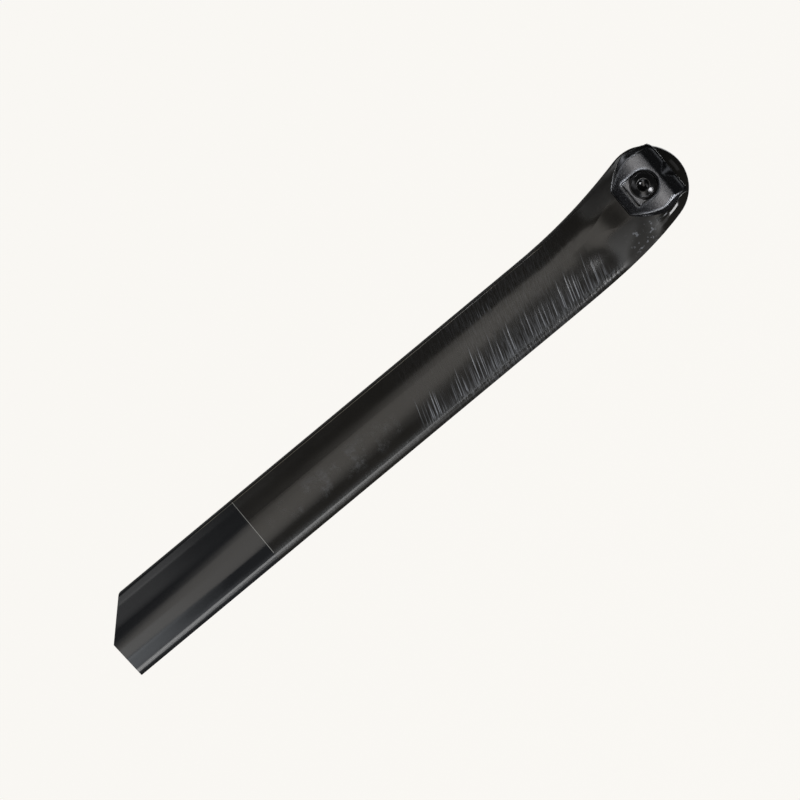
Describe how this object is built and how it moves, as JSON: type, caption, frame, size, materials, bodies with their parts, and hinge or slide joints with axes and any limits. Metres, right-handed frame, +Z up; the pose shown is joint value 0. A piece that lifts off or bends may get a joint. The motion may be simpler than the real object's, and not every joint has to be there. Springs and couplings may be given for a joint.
{
  "type": "bicycle seatpost",
  "caption": "Carbon seatpost with a D-shaped hollow shaft, a swept-back round head and a side-bolted rail clamp that sets the saddle's tilt and holds its two rails",
  "frame": {"origin": "on the shaft's axis at the tail end, where the post goes into the frame", "axes": "+Z up along the straight shaft, +X forward through the rounded leading edge, +Y to the left across the head"},
  "size_m": [0.0485, 0.0582, 0.38],
  "materials": {
    "carbon": "black carbon composite under a worn satin clear coat",
    "anodised": "black anodised, bead-blasted satin",
    "black_steel": "black oxide, slightly glossy"
  },
  "bodies": {
    "post": {"post": "carbon"},
    "saddle_clamp": {"inner_clamp_right": "anodised", "inner_clamp_left": "anodised", "outer_clamp_right": "anodised", "outer_clamp_left": "anodised", "clamp_bolt": "black_steel", "bolt_washer": "black_steel", "clamp_nut": "black_steel"}
  },
  "joints": [
    {"name": "saddle_tilt", "type": "hinge", "parent": "post", "child": "saddle_clamp", "pos_m": [-0.0092, 0, 0.3574], "axis": [0, 1, 0], "range_deg": [-20, 40]}
  ]
}
